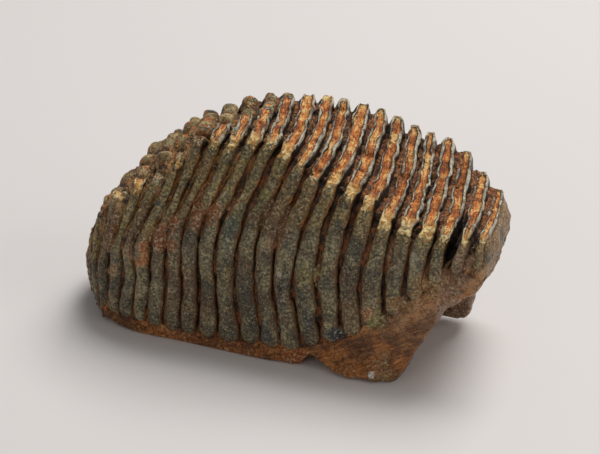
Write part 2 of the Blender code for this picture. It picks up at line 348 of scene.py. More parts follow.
# The bars that stand for the plates, in millimetres. Noise is given as (height, size)
bars = {
    "step": 0.95, "fineStep": 0.6, "fineReach": 7, "pitch": 11.0, "halfGap": (1.6, 7.5),
    # the share of the way to the next groove that a bar fills: low, high, as knobs and as a worn plate
    "lowerFill": 0.87, "upperFill": 0.77, "knobFill": 0.84, "wornFill": 0.67, "rearThinner": 0.08,
    "unevenFill": (0.14, 11.0), "wornHalf": (2.4, 6.0), "wavyEdge": ((0.8, 3.4), (0.6, 9.0)),
    "openFill": {21: 0.6, 22: 0.72}, "openReach": (34, 4),
    "round": 0.4, "rimRound": 1.6, "nearRimRound": 4.6, "nearRimReach": 9, "roundRimPlates": (7, 11),
    "footRound": 6.0, "footInset": 2.2, "taper": {"nearCorner": (0.2, 4.0), "farCorner": (0.34, 3.2)},
    "chipSize": 4.5, "chipDepth": 1.5, "unevenTop": (0.9, 8.0), "sway": (0.6, 13.0),
    # the sideways curl of the worn plates, with (share across the tooth, reach) or (plate, reach)
    "curl": 1.5, "nearCurl": (0.25, 0.13), "farCurl": (0.72, 0.2), "farCurlShare": 0.7,
    "curledPlates": (15.5, 2.8),
    "lumps": (0.65, 10.0), "grit": (0.2, 1.9), "pitDepth": 0.5, "pitSize": 1.5,
    "dentineDepth": 1.4, "dentineLines": 0.4, "dentineLineSize": (0.35, 1.4, 1.0),
    "raggedEnds": (1.6, 3.4), "brokenEnamel": 3.0, "brokenPlates": (12.5, 9.5), "toneSeed": 100,
    # how far across each plate's top is worn flat, from the near rim: (plate, share)
    "wornTo": [
        (2, -0.1), (3, 0.08), (7, 0.06), (8, 0.3), (9, 0.42), (10, 0.58), (11, 0.85), (12, 1.2), (23, 1.2),
    ],
    # worn facets at the near rims and at the far tips, brightened with painted highlights: (plate,
    # strength)
    "nearGold": [
        (0, 0), (2, 0.2), (3, 0.7), (4, 0.85), (5, 0.3), (6, 0.85), (7, 0.3), (8, 0.5), (9, 0.8), (10, 0.8),
        (11, 0.5), (12, 0.9), (13, 0.6), (14, 0.35), (15, 0.9), (16, 1), (17, 0.9), (18, 1), (19, 1),
        (20, 0.9), (21, 0.6), (22, 1), (23, 0.8),
    ],
    "farGold": [
        (0, 0), (10, 0.1), (11, 0.7), (12, 0.4), (13, 1), (14, 0.5), (16, 0.4), (18, 0.5), (23, 0.4),
    ],
}
# The rounded knobs on the unworn tops of the rear plates
knobs = {
    "count": 4.5, "unevenCount": (-0.8, 0.5), "unevenPlace": 0.12, "squareness": 2.2, "thinner": 0.42,
    "drop": (-0.6, 3.0), "seed": 300, "fadingPlates": (12, 8),
    # some knobs of the plates before this one have worn tips
    "wornBefore": 11, "wornSize": 3.2, "raggedTips": (1.6, 3.0),
}
names = ("inside", "worn", "depth", "tone", "upper", "gold", "root", "cement")
linesApart = 20.0  # between the grain of one bar and the next


def crestLine(number, inset, topDrop):
    # (y, z) from the near foot over the top to the far foot, half a millimetre apart, before any knobs
    (nearY, nearZ), (farY, farZ) = rims(number)
    height = plateNoise(number, form["heightNoise"], 1)
    rib = plateNoise(number, form["ribNoise"], 2)
    foot = along(form["ribFootZ"], number)
    near = sideLine(number, "nearSide", foot, nearZ + height - 0.8, 0.5, rib + inset)
    far = sideLine(number, "farSide", foot, farZ + height - 0.8, 0.5, rib + inset)[::-1]
    share = np.linspace(0.02, 0.98, 140)
    inner = along(form["width"], number) * inset * 0.6
    topY = nearY + inner + (farY - nearY - 2 * inner) * share
    top = np.stack([topY, topHeight(number, share) - topDrop], 1)
    line = np.concatenate([near[near[:, 1] < top[0, 1] - 0.4], top, far[far[:, 1] < top[-1, 1] - 0.4]])
    line = resample(line, int(lengthOf(line)[-1] * 2))
    nearRim = hump(np.hypot(line[:, 0] - nearY, line[:, 1] - nearZ), 0, bars["nearRimReach"])
    softness = (nearRim * smooth(*bars["roundRimPlates"], number))[:, None]
    rounded = blur(line, bars["nearRimRound"] * 2)
    return blur(line, bars["rimRound"] * 2) * (1 - softness) + rounded * softness


def barPlaces(length, nearCorner, farCorner):
    # the places of a bar's sections, closer together at its corners and feet
    places = [0.0]
    while places[-1] < length - bars["fineStep"]:
        corner = min(abs(places[-1] - nearCorner - 3), abs(places[-1] - farCorner + 3))
        foot = min(places[-1], length - places[-1])
        fine = min(corner, foot) < bars["fineReach"]
        places.append(places[-1] + (bars["fineStep"] if fine else bars["step"]))
    places[-1] = length
    return np.array(places)


def barFrame(number, inset, topDrop):
    # the bar's middle line, the directions across and out of it, and how far it is to the next gaps
    line = crestLine(number, inset, topDrop)
    (nearY, nearZ), (farY, farZ) = rims(number)
    share = (line[:, 0] - nearY) / (farY - nearY)
    middle = onPlate(number, line)
    middle[:, 0] = blur(middle[:, :1], 3)[:, 0]
    curl = hump(share, *bars["nearCurl"]) - bars["farCurlShare"] * hump(share, *bars["farCurl"])
    curl = curl * hump(number, *bars["curledPlates"]) * smooth(nearZ - 12, nearZ, line[:, 1])
    middle[:, 0] += bars["curl"] * curl
    length = lengthOf(middle)
    nearCorner = length[np.argmin(np.abs(line[:, 0] - nearY) + np.abs(line[:, 1] - nearZ))]
    farCorner = length[np.argmin(np.abs(line[:, 0] - farY) + np.abs(line[:, 1] - farZ))]
    places = barPlaces(length[-1], nearCorner, farCorner)
    tangent = sample(blur(np.gradient(middle, length, axis=0), 3), length, places)
    tangent /= np.linalg.norm(tangent, axis=1, keepdims=True)
    outward = np.stack([np.zeros(len(places)), -tangent[:, 2], tangent[:, 1]], 1)
    across = np.cross(tangent, outward)
    across /= np.linalg.norm(across, axis=1, keepdims=True)
    outward = np.cross(across, tangent)
    middle = sample(middle, length, places)
    x, y, z = middle.T
    toGaps = []
    for gap in (x - plateX(number - 0.5, y, z), plateX(number + 0.5, y, z) - x):
        toGaps.append(np.clip(blur(gap[:, None], 4)[:, 0] * across[:, 0], *bars["halfGap"]))
    bulge = along(form["bulgeZ"], number)
    return {
        "middle": middle, "across": across, "outward": outward, "places": places, "length": length[-1],
        "toGaps": toGaps, "nearCorner": nearCorner, "farCorner": farCorner,
        "share": np.interp(places, length, share), "upper": smooth(bulge - 6, bulge + 10, z),
    }


# One side of a bar's section, from deep in the groove to the middle of the crest: (share of the half
# thickness, depth) of a rounded rib and of a knob, and (distance inside the edge, depth) of a worn plate
ridgeWidth = 2.15  # from a worn plate's edge, over the enamel ridge, to the dentine
ribSection = [
    (1.12, 11.0), (1.06, 7.5), (1.02, 5.2), (1.0, 3.8), (0.985, 2.8), (0.95, 1.95), (0.9, 1.35),
    (0.83, 0.9), (0.74, 0.58), (0.64, 0.36), (0.53, 0.21), (0.42, 0.11), (0.3, 0.05), (0.18, 0.02),
    (0.06, 0.0),
]
knobSection = [
    (1.12, 11.0), (1.08, 8.2), (1.03, 6.2), (1.0, 4.8), (0.97, 3.7), (0.92, 2.75), (0.86, 2.05),
    (0.78, 1.45), (0.69, 0.98), (0.59, 0.66), (0.49, 0.43), (0.38, 0.25), (0.27, 0.12), (0.16, 0.04),
    (0.06, 0.0),
]
wornSection = [
    (-0.5, 11.0), (-0.25, 7.5), (-0.1, 5.0), (-0.05, 3.2), (0.0, 2.0), (0.02, 1.1), (0.1, 0.5),
    (0.3, 0.15), (0.65, 0.0), (1.05, 0.0), (1.4, 0.25), (1.7, 0.8), (ridgeWidth, 1.0), (0.62, 1.0),
    (0.2, 1.0),
]
ridgePoints = 13  # points of the worn section placed from its edge; the last two share out the dentine
dentineFrom = 10  # the first point of the worn section that the recess of the dentine moves


def gridNormals(points):
    # the outward direction at each point of a closed grid
    alongIt = np.gradient(points, axis=0)
    acrossIt = np.roll(points, -1, axis=1) - np.roll(points, 1, axis=1)
    normal = np.cross(alongIt, acrossIt)
    return normal / np.maximum(np.linalg.norm(normal, axis=2, keepdims=True), 1e-9)


def blankMasks(shape):
    masks = {name: np.zeros(shape) for name in names}
    masks["inside"] = np.full(shape, -1.0)
    return masks


def wornStretch(bar, plate):
    # along the bar: how far it is on the top and worn flat, and the distance inside the worn stretch
    places, share = bar["places"], bar["share"]
    onTop = smooth(-2, 2, places - bar["nearCorner"]) * smooth(-2, 2, bar["farCorner"] - places)
    wornEnd = float(along(bars["wornTo"], plate))
    worn = onTop * smooth(-0.05, 0.05, wornEnd - share)
    start = bar["nearCorner"] - 1.0
    stop = np.interp(min(wornEnd, 1), share, places) + 1.0 if wornEnd > 0 else start
    return onTop, worn, np.minimum(places - start, stop - places)


def knobsOf(bar, plate, unworn):
    # along the bar: the place within a knob, the depth of the clefts, their thinning and each knob's drop
    chance = np.random.default_rng(knobs["seed"] + plate)
    place = np.clip(1 - bar["share"], 0, 1) * (knobs["count"] + chance.uniform(*knobs["unevenCount"]))
    sway = np.sin(place * 2.2 + chance.uniform(0, 6)) * np.minimum(place, 1)
    place = place + knobs["unevenPlace"] * sway
    knob = np.abs(place % 1 * 2 - 1)
    drops = np.concatenate([[0.0], chance.uniform(*knobs["drop"], 7)])
    drop = np.interp(place - 0.5, np.arange(len(drops)), drops)
    cleft = 1 - np.sqrt(np.clip(1 - knob ** knobs["squareness"], 0, 1))
    deep = along(form["knobCleft"], plate) * (1.6 + 0.5 * smooth(0.4, 0.8, bar["share"]))
    thin = 1 - knobs["thinner"] * cleft * unworn * smooth(1, 4, deep)
    return knob, cleft * deep * unworn, thin, drop * unworn * smooth(2, 5, deep)


def crestOf(bar, plate, onTop, cleft, drop):
    # the height of the crest over the bar's middle line, with its chips, clefts and rounded feet
    chipped = smooth(0.25, 0.7, lineNoise(bar["places"], plate, bars["chipSize"], 13)) * bars["chipDepth"]
    uneven = lineRelief(bar["places"], plate, bars["unevenTop"], 3) * onTop
    crest = uneven - chipped * (0.2 + 0.8 * onTop) - cleft - drop
    return crest - bars["footInset"] * (1 - tipOf(bar)) ** 2


def tipOf(bar):
    # from 0 at the very feet of a bar to 1 where their rounding ends
    places = bar["places"]
    return np.clip(np.minimum(places, bar["length"] - places) / bars["footRound"], 0, 1)


def thinned(bar, thin):
    # the clefts' thinning together with that of the corners and the feet
    for corner, (taper, reach) in bars["taper"].items():
        thin = thin * (1 - taper * hump(bar["places"], bar[corner], reach))
    return thin * np.sqrt(np.clip(1 - (1 - tipOf(bar)) ** 2, 0, 1)) + 0.02


def fillOf(bar, plate, knobbed):
    # the share of the way to the next groove that an unworn bar fills
    upperFill = bars["upperFill"] - bars["rearThinner"] * smooth(13, 10, plate)
    fill = bars["lowerFill"] + (upperFill - bars["lowerFill"]) * bar["upper"]
    fill = fill + (bars["knobFill"] - fill) * knobbed
    return fill * (1 + lineRelief(bar["places"], plate, bars["unevenFill"], 8))


def sectionOf(bar, plate, worn, knobbed, thin, fromEnd):
    # how far across and how deep each point of the sections lies
    places = bar["places"]
    fill = fillOf(bar, plate, knobbed)
    roundness = np.maximum(knobbed, bars["round"])
    outs, depths = [], []
    for toGap, sign in zip(bar["toGaps"], (-1, 1)):
        waves = zip(bars["wavyEdge"], (5, 6))
        wave = sum(lineRelief(places, plate * 2 + sign, size, seed) for size, seed in waves)
        openFill = bars["openFill"].get(plate if sign > 0 else plate - 1, 1.0)
        narrow = 1 - (1 - openFill) * smooth(*bars["openReach"], np.abs(places - bar["nearCorner"]))
        halfWorn = np.clip(toGap * bars["wornFill"] * narrow + wave, *bars["wornHalf"])
        halfRib = toGap * fill * narrow + 0.35 * wave * bar["upper"]
        for index, (rib, knob, flat) in enumerate(zip(ribSection, knobSection, wornSection)):
            ribOut, ribDepth = [low + (high - low) * roundness for low, high in zip(rib, knob)]
            wornOut, wornDepth = flat
            wornOut = halfWorn - wornOut if index < ridgePoints else (halfWorn - ridgeWidth) * wornOut
            if index >= dentineFrom:
                wornDepth = wornDepth * bars["dentineDepth"] * smooth(0.7, 2.2, fromEnd)
            outs.append((ribOut * halfRib * (1 - worn) + wornOut * worn) * thin * sign)
            depths.append(ribDepth * (1 - worn) + wornDepth * worn)
    order = [*range(len(ribSection)), *range(len(outs) - 1, len(ribSection) - 1, -1)]
    return np.stack([outs[index] for index in order], 1), np.stack([depths[index] for index in order], 1)


def wornTips(bar, plate, knob, unworn, points, out, depth):
    # the distance inside the worn tips of some knobs, and below 0 outside them
    radius = (bar["farCorner"] - bar["nearCorner"]) / knobs["count"] / 2
    chosen = lineNoise(np.floor((1 - bar["share"]) * knobs["count"]), plate, 1.0, 12)
    size = smooth(-0.3, 0.8, chosen) * knobs["wornSize"]
    tips = size[:, None] - np.hypot((knob * radius)[:, None], out * 1.2)
    tips = tips + relief(points, knobs["raggedTips"], 2, 83)
    onKnob = (unworn[:, None] > 0.6) & (depth < 2.0) & (plate < knobs["wornBefore"])
    return np.where(onKnob, tips, -1)


def wornInside(plate, fromEnd, tips, points, out, depth):
    # the distance inside the worn surfaces, which the enamel follows round their ends
    fromEdge = np.minimum(out - out.min(axis=1, keepdims=True), out.max(axis=1, keepdims=True) - out)
    ragged = fromEnd[:, None] + relief(points, bars["raggedEnds"], 2, 85)
    inside = np.where(depth < 2.6, np.minimum(fromEdge - 0.3, ragged), -1)
    inside = np.where(tips > 0, tips + 0.9, inside)
    broken = 0.35 + 0.9 * smooth(*bars["brokenPlates"], plate)
    return inside + relief(points, (broken, bars["brokenEnamel"]), 2, 81) * (inside > 0)


def plateRelief(points, grain, inside):
    # lumps, grit and pits all over, and fine lines along the dentine
    dentine = smooth(1.3, 1.9, inside)
    rise = relief(points, bars["lumps"], 3, 11) + relief(points, bars["grit"], 2, 21)
    pits = np.minimum(noise(points, bars["pitSize"], 31) + 0.4, 0) * bars["pitDepth"]
    rise = rise + pits * (1 - 0.6 * dentine)
    return rise + noise(grain * bars["dentineLineSize"], 1.0, 35) * bars["dentineLines"] * dentine


def facetHighlightsOf(bar, plate):
    # the worn facets along the bar, where painted highlights brighten them
    pastRim = bar["places"] - bar["nearCorner"]
    near = along(bars["nearGold"], plate) * hump(pastRim, 0, np.where(pastRim > 0, 7.5, 5.6))
    return near + along(bars["farGold"], plate) * hump(bar["places"], bar["farCorner"] - 2.5, 4.0)


def plateStain(plate, knobbed, points, out, depth):
    # the stains, with pale crust on the feet of the ribs and dirt and straw among the rear knobs
    stain = stainOf(plate + out / bars["pitch"], points)
    footHeight = points[..., 2] - along(form["ribFootZ"], plate)
    crust = smooth(7, 0, footHeight) * smooth(0.0, 0.5, roughness(points, 4.0, 3, 91))
    dirt = smooth(0.6, 2.0, depth) * smooth(5, 3, depth) + 0.15
    dirt = knobbed[:, None] * dirt * smooth(-0.2, 0.4, roughness(points, 6.0, 3, 93))
    flecks = knobbed[:, None] * smooth(0.15, 0.5, roughness(points, 5.5, 3, 95))
    cover(stain, ((0.75 * crust, "tan"), (0.9 * dirt, "clay"), (0.95 * flecks, "straw")))
    return stain


def plateBar(plate):
    bar = barFrame(plate, 0.0, 0.0)
    places = bar["places"]
    onTop, worn, fromEnd = wornStretch(bar, plate)
    unworn = onTop * (1 - worn)
    knobbed = unworn * smooth(*knobs["fadingPlates"], plate)
    knob, cleft, thin, drop = knobsOf(bar, plate, unworn)
    crest = crestOf(bar, plate, onTop, cleft, drop)
    out, depth = sectionOf(bar, plate, worn, knobbed, thinned(bar, thin), fromEnd)
    sway = lineRelief(places, plate, bars["sway"], 9)
    points = (
        bar["middle"][:, None] + bar["across"][:, None] * (out + sway[:, None])[..., None]
        + bar["outward"][:, None] * (crest[:, None] - depth)[..., None]
    )
    tips = wornTips(bar, plate, knob, unworn, points, out, depth)
    inside = wornInside(plate, fromEnd, tips, points, out, depth)
    grain = np.stack([out * 0 + places[:, None], out, out * 0 + plate * linesApart], 2)
    points = points + gridNormals(points) * plateRelief(points, grain, inside)[..., None]
    masks = blankMasks(out.shape)
    masks["inside"] = inside
    masks["worn"] = np.where(tips > 0, 1.0, worn[:, None])
    # the depth below the crest, more in the knobs' clefts; the look darkens deep places with painted shade
    masks["depth"] = np.maximum(depth, 0) + 0.6 * cleft[:, None]
    masks["tone"] += np.random.default_rng(bars["toneSeed"] + plate).uniform(-1, 1)
    masks["upper"] += bar["upper"][:, None]
    # painted highlights on the worn facets, fading down into the grooves
    masks["gold"] = smooth(3.0, 0.6, depth) * facetHighlightsOf(bar, plate)[:, None]
    return points, masks, grain, plateStain(plate, knobbed, points, out, depth)


# The cement in the grooves and gaps, in millimetres: depths by plate number, and noise as (height, size)
cement = {
    # how far it lies under the crests: low down on the sides, higher up and on the top
    "sideDepth": 4.2, "upperDepth": [(0, 3.6), (9, 3.8), (12, 4.5), (23, 4.8)],
    "topDepth": [(0, 5), (4, 6), (8, 5.6), (11, 5), (13, 4.6), (23, 4.6)],
    "sideLeast": 0.8, "topLeast": 1.5, "rimDrop": 1.8, "farDrop": 3.2, "farDropPlates": (12, 8),
    # the extra depth of the two open gaps at the front
    "open": {21.5: 8.0, 22.5: 4.5}, "openReach": (34, 14),
    "points": 11, "reach": 0.75, "roundness": 0.7, "bottom": 4.0,
    "lumps": (1.3, 11.0), "grit": (1.1, 2.2), "topLumps": (1.5, 4.0), "strands": 0.9, "stainRise": 2.4,
}


def cementRise(bar, gap, points, out, onTop, stained):
    # how far the cement rises over its middle line: lumps and strands, less the hollows
    places = bar["places"]
    strandAt = np.stack([places[:, None] * 0.14 + out * 0, out * 1.1, out * 0 + gap * 3], 2)
    rise = relief(points * (1, 0.6, 0.6), cement["lumps"], 3, 41)
    rise = rise + cement["strands"] * noise(strandAt, 1.0, 44)
    rise = rise + np.maximum(relief(points, cement["grit"], 2, 43), 0) + cement["stainRise"] * stained
    rise = rise + onTop[:, None] * relief(points, cement["topLumps"], 2, 45)
    farDrop = smooth(0.4, 0.7, bar["share"]) * smooth(*cement["farDropPlates"], gap) * onTop
    rise = rise - cement["farDrop"] * farDrop[:, None]
    most = cement["sideDepth"] - cement["sideLeast"]
    most = most + (along(cement["topDepth"], gap) - cement["topLeast"] - most) * onTop[:, None]
    rise = np.clip(rise, -2.5, most)
    rise = rise - cement["rimDrop"] * hump(places, bar["nearCorner"], 6)[:, None]
    sunk = (along(cement["upperDepth"], gap) - cement["sideDepth"]) * bar["upper"] * (1 - onTop)
    opened = smooth(*cement["openReach"], np.abs(places - bar["nearCorner"] + 3))
    return rise - (sunk + cement["open"].get(gap, 0.0) * opened)[:, None]


def cementBar(gap):
    bar = barFrame(gap, cement["sideDepth"], along(cement["topDepth"], gap))
    places = bar["places"]
    across = np.linspace(-1, 1, cement["points"])
    left, right = bar["toGaps"]
    out = across * np.where(across < 0, left[:, None], right[:, None]) * cement["reach"]
    points = bar["middle"][:, None] + bar["across"][:, None] * out[..., None]
    onTop = smooth(-2, 4, places - bar["nearCorner"]) * smooth(-2, 4, bar["farCorner"] - places)
    stain = stainOf(gap + out / bars["pitch"], points)
    rise = cementRise(bar, gap, points, out, onTop, stain[..., 3]) - cement["roundness"] * across**2
    points = points + bar["outward"][:, None] * rise[..., None]
    bottom = points[:, [-1, 0]] - bar["outward"][:, None] * cement["bottom"]
    points = np.concatenate([points, bottom], 1)
    edges = np.r_[0:len(across), len(across) - 1, 0]
    rearGold = smooth(*cement["farDropPlates"], gap) * smooth(60, 20, np.abs(places - bar["nearCorner"]))
    masks = blankMasks(points.shape[:2])
    # how deep the cement lies under the crests; the look darkens it deep down with painted shade
    masks["depth"] = cement["sideDepth"] - rise[:, edges]
    masks["cement"] += 1
    masks["upper"] += bar["upper"][:, None]
    masks["worn"] += onTop[:, None]
    masks["gold"] += (rearGold * bar["upper"])[:, None]
    grain = [masks["cement"] * places[:, None], out[:, edges], masks["cement"] * gap * linesApart]
    return points, masks, np.stack(grain, 2), stain[:, edges]


# The root mass under the ribs, in millimetres: stretches by plate number, and noise as (height, size)
rootMass = {
    "step": 0.085, "frontStep": 0.045, "frontFrom": 17.5,
    "inset": 2.4, "underRibs": 2.2, "lidHeight": 7, "lowerEdge": 1.5,
    # the directions of the fibres, which run down to the tip of the near root
    "fibreWay": [(-0.45, 0.14, 0.0), (0.0, 0.0, 0.35), (0.78, 0.08, 0.0)],
    "lumps": (1.1, 13.0), "fibres": (0.4, 1.9), "grit": 0.3, "coarseGrit": 0.9, "gritSize": 3.0,
    "coarsePlates": (19.0, 16.6), "coarseHeights": (26, 6),
    "cracks": 0.08, "coarseCracks": 0.8, "crackSize": 9.0, "crackWidth": 0.16,
    # the crumbled edge where the front ribs end
    "crumbledPlates": (17.5, 18.8), "crumbReach": 6, "crumbRise": 0.8, "crumbs": (1.6, 5.0),
    "farRootPlates": (18.8, 20.0), "farRootStain": 0.85, "rearPlates": (3.4, 2.0), "rearStain": 0.95,
}


def levelsOf(number):
    return {name: max(float(along(base[name], number)), 0.0) for name in ("near", "middle", "far")}


def underside(number):
    # (y, z) across the underside, from the near side to the far one
    half = along(form["width"], number) * form["halfWidth"]
    levels = levelsOf(number)
    return np.array([(half * share, levels[name]) for share, name in base["across"]])


def rootRing(number):
    # the outline of the root mass at one place, from the near rib feet under the tooth to the far ones
    width = along(form["width"], number)
    levels = levelsOf(number)
    foot = along(form["ribFootZ"], number)
    under = underside(number)
    under[:2, 0] -= flareOf(number, levels["near"])
    sides = []
    for profile, low in (("nearSide", levels["near"]), ("farSide", levels["far"])):
        height = np.linspace(low + rootMass["lowerEdge"], foot + rootMass["lidHeight"], 34)
        inset = rootMass["inset"] + rootMass["underRibs"] * smooth(foot - 0.5, foot + 4, height)
        flare = flareOf(number, height) if profile == "nearSide" else 0
        sides.append(np.stack([width * (along(form[profile], height) - inset) + flare, height], 1))
    outline = np.concatenate([(sides[0] * (-1, 1))[::-1], resample(under, 74), sides[1]])
    outline = blur(resample(outline, 190), 1.6)
    lidY = np.linspace(outline[-1, 0], outline[0, 0], 6)[1:-1]
    lid = np.stack([lidY, np.full(len(lidY), foot + rootMass["lidHeight"])], 1)
    return onPlate(number, np.concatenate([outline, lid]))


def rootPiece():
    rear = np.arange(-0.5, rootMass["frontFrom"], rootMass["step"])
    front = np.arange(rootMass["frontFrom"], 23.5, rootMass["frontStep"])
    numbers = np.concatenate([rear, front, [23.5]])
    points = np.array([rootRing(number) for number in numbers])
    numbers = numbers[:, None]
    fibre = points @ np.array(rootMass["fibreWay"])
    # coarse and cracked low on the near root, and crumbled where the front ribs end
    coarse = smooth(*rootMass["coarsePlates"], numbers) * smooth(*rootMass["coarseHeights"], points[..., 2])
    crumbled = hump(points[..., 2], along(form["ribFootZ"], numbers), rootMass["crumbReach"])
    crumbled = crumbled * smooth(*rootMass["crumbledPlates"], numbers) * smooth(-15, -30, points[..., 1])
    cracks = np.abs(roughness(points * (1.0, 0.7, 1.4), rootMass["crackSize"], 3, 57))
    cracks = smooth(rootMass["crackWidth"], 0.0, cracks)
    broken = np.maximum(coarse, crumbled)
    gritHeight = rootMass["grit"] + rootMass["coarseGrit"] * coarse
    rise = relief(points, rootMass["lumps"], 2, 51) + relief(fibre, rootMass["fibres"], 2, 53)
    rise = rise + relief(points, (gritHeight, rootMass["gritSize"]), 3, 55)
    rise = rise - cracks * (rootMass["cracks"] + rootMass["coarseCracks"] * broken)
    rise = rise + crumbled * (rootMass["crumbRise"] + relief(points, rootMass["crumbs"], 3, 59))
    rise = rise * smooth(0.2, 3.0, points[..., 2])
    stain = stainOf(numbers, points)
    farRoot = smooth(*rootMass["farRootPlates"], numbers) * smooth(-8, 8, points[..., 1])
    rearEnd = smooth(*rootMass["rearPlates"], numbers) * smooth(2.0, 5.0, points[..., 2])
    farRoot = farRoot * rootMass["farRootStain"]
    cover(stain, ((farRoot, "mauve"), (rearEnd * rootMass["rearStain"], "slate")))
    points = points + gridNormals(points) * rise[..., None]
    points[..., 2] = np.maximum(points[..., 2], 0.0)
    masks = blankMasks(points.shape[:2])
    masks["depth"] += 1 + cracks * (0.3 + 1.6 * broken)
    masks["root"] += 1
    masks["tone"] += coarse
    masks["upper"] += smooth(14, 40, points[..., 2]) * smooth(16, 18, numbers) + 0.6 * crumbled
    return points, masks, fibre, stain


# The rounded ends beyond the first and the last groove: place by plate number, the rest in millimetres
ends = {
    "rear": {"at": -0.3, "direction": -1, "bulge": 2.6, "inset": 1.0, "drop": 3.0, "stain": "brown"},
    "front": {"at": 23.42, "direction": 1, "bulge": 3.6, "inset": 2.0, "drop": 4.0, "stain": "clay"},
    "depth": 4.0, "rings": 60, "lumps": (1.3, 16.0), "grit": (0.5, 3.6), "stained": 0.9, "stainSize": 14.0,
}


def wholeOutline(number, inset, drop):
    # the closed outline of the tooth at one place: near side, top, far side and underside
    (nearY, nearZ), (farY, farZ) = rims(number)
    height = plateNoise(number, form["heightNoise"], 1)
    levels = levelsOf(number)
    near = sideLine(number, "nearSide", levels["near"] + 2, nearZ + height - drop, 1.0, inset)
    far = sideLine(number, "farSide", levels["far"] + 2, farZ + height - drop, 1.0, inset)[::-1]
    share = np.linspace(0.06, 0.94, 60)
    top = np.stack([(nearY + (farY - nearY) * share) * 0.96, topHeight(number, share) - drop], 1)
    line = np.concatenate([near, top, far, underside(number)[::-1]])
    line = resample(np.concatenate([line, line[:1]]), 361)[:-1]
    return blur(np.concatenate([line[-12:], line, line[:12]]), 2.5)[12:-12]


def endCap(end):
    # a domed end, from the outline at the last groove in to the middle
    line = onPlate(end["at"], wholeOutline(end["at"], end["inset"], end["drop"]))
    centre = line.mean(axis=0)
    rings = [line - (end["direction"] * ends["depth"], 0, 0)]
    for level in np.cos(np.linspace(0, math.pi / 2, ends["rings"])):
        ring = centre + (line - centre) * level
        ring[:, 0] += end["direction"] * end["bulge"] * math.sqrt(1 - level**2)
        rings.append(ring)
    points = np.array(rings)
    rise = relief(points, ends["lumps"], 2, 61) + relief(points * (1, 1, 0.5), ends["grit"], 2, 63)
    points[1:, :, 0] += end["direction"] * rise[1:]
    masks = blankMasks(points.shape[:2])
    masks["depth"] += 0.8
    stain = np.broadcast_to(stainColours[end["stain"]], points.shape[:2] + (4,)).copy()
    stain[..., 3] = smooth(-0.9, 0.2, roughness(points, ends["stainSize"], 3, 65)) * ends["stained"]
    return points, masks, points[..., ::-1], stain


def meshFrom(name, parts, material):
    # one piece from grids of points, closed round their columns, with a mask, grain and stain at each point
    verts, faces, grains, stained, start = [], [], [], [], 0
    values = {mask: [] for mask in names}
    for points, masks, grain, stain in parts:
        rows, columns = points.shape[:2]
        verts.append(points.reshape(-1, 3))
        grains.append(grain.reshape(-1, 3))
        stained.append(stain.reshape(-1, 4))
        for mask in names:
            values[mask].append(masks[mask].reshape(-1))
        index = np.arange(rows * columns).reshape(rows, columns) + start
        after = np.roll(index, -1, axis=1)
        faces.append(np.stack([index[:-1], after[:-1], after[1:], index[1:]], 2).reshape(-1, 4))
        start += rows * columns
    verts = np.concatenate(verts) * mm
    faces = np.concatenate(faces)
    data = bpy.data.meshes.new(name)
    data.vertices.add(len(verts))
    data.vertices.foreach_set("co", verts.reshape(-1))
    data.loops.add(faces.size)
    data.loops.foreach_set("vertex_index", faces.reshape(-1))
    data.polygons.add(len(faces))
    data.polygons.foreach_set("loop_start", np.arange(len(faces)) * 4)
    data.polygons.foreach_set("loop_total", np.full(len(faces), 4))
    data.update(calc_edges=True)
    layers = [(mask, "FLOAT", "value", values[mask]) for mask in names]
    layers += [("grain", "FLOAT_VECTOR", "vector", grains), ("stain", "FLOAT_COLOR", "color", stained)]
    for layerName, kind, field, arrays in layers:
        layer = data.attributes.new(layerName, kind, "POINT")
        layer.data.foreach_set(field, np.concatenate(arrays).astype(np.float32).reshape(-1))
    data.shade_smooth()
    data.materials.append(material)
    piece = bpy.data.objects.new(name, data)
    bpy.context.scene.collection.objects.link(piece)
    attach(piece, "root")
    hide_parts("mammoth_molar")
    print(name, len(faces) * 2, "triangles")
    return piece


# The fossil's colours, then its roughness from glossy to dull and its fine relief in metres
paints = palette({
    "ribDark": (76, 72, 53), "ribLight": (164, 152, 112), "ribBlue": (80, 86, 76),
    "ribBrown": (124, 86, 48), "ribOlive": (168, 146, 84), "ribSpeck": (226, 212, 172),
    "black": (20, 16, 11), "darkBrownAndShade": (40, 27, 14), "flank": (122, 74, 32),
    "cementDark": (60, 40, 21), "cementRust": (150, 86, 38),
    "cementTop": (208, 132, 64), "dentineDark": (130, 62, 18), "dentine": (218, 126, 48),
    "dentineLight": (255, 208, 130), "enamel": (222, 212, 188), "enamelGrey": (138, 130, 112),
    "gold": (250, 226, 160), "goldDark": (196, 142, 70), "rootDark": (84, 47, 20), "rootMid": (162, 98, 44),
    "rootLight": (212, 150, 84), "rootPale": (188, 146, 104), "rustBright": (184, 112, 46),
})
looks = {"roughness": (0.24, 0.6), "bump": 0.85, "bumpHeight": 0.0012}
# The scales of the noise in the material, in features to the metre
scales = {
    "fine": 1250, "speck": 640, "grit": 620, "freckle": 330, "patchy": 150, "warm": 110, "cracks": 85,
    "broad": 55, "clouds": 32,
}
fossil = bpy.data.materials.new("fossil_tooth_look")
fossil.use_nodes = True
nodes, links = fossil.node_tree.nodes, fossil.node_tree.links


def attribute(name, output="Fac"):
    found = nodes.new("ShaderNodeAttribute")
    found.attribute_name = name
    return found.outputs[output]


def put(socket, value):
    # links another node's output, or sets a plain value
    if isinstance(value, bpy.types.NodeSocket):
        links.new(value, socket)
    else:
        socket.default_value = value


def maths(operation, first, second=0.0):
    made = nodes.new("ShaderNodeMath")
    made.operation = operation
    put(made.inputs[0], first)
    put(made.inputs[1], second)
    return made.outputs[0]


def times(first, *others):
    for other in others:
        first = maths("MULTIPLY", first, other)
    return first


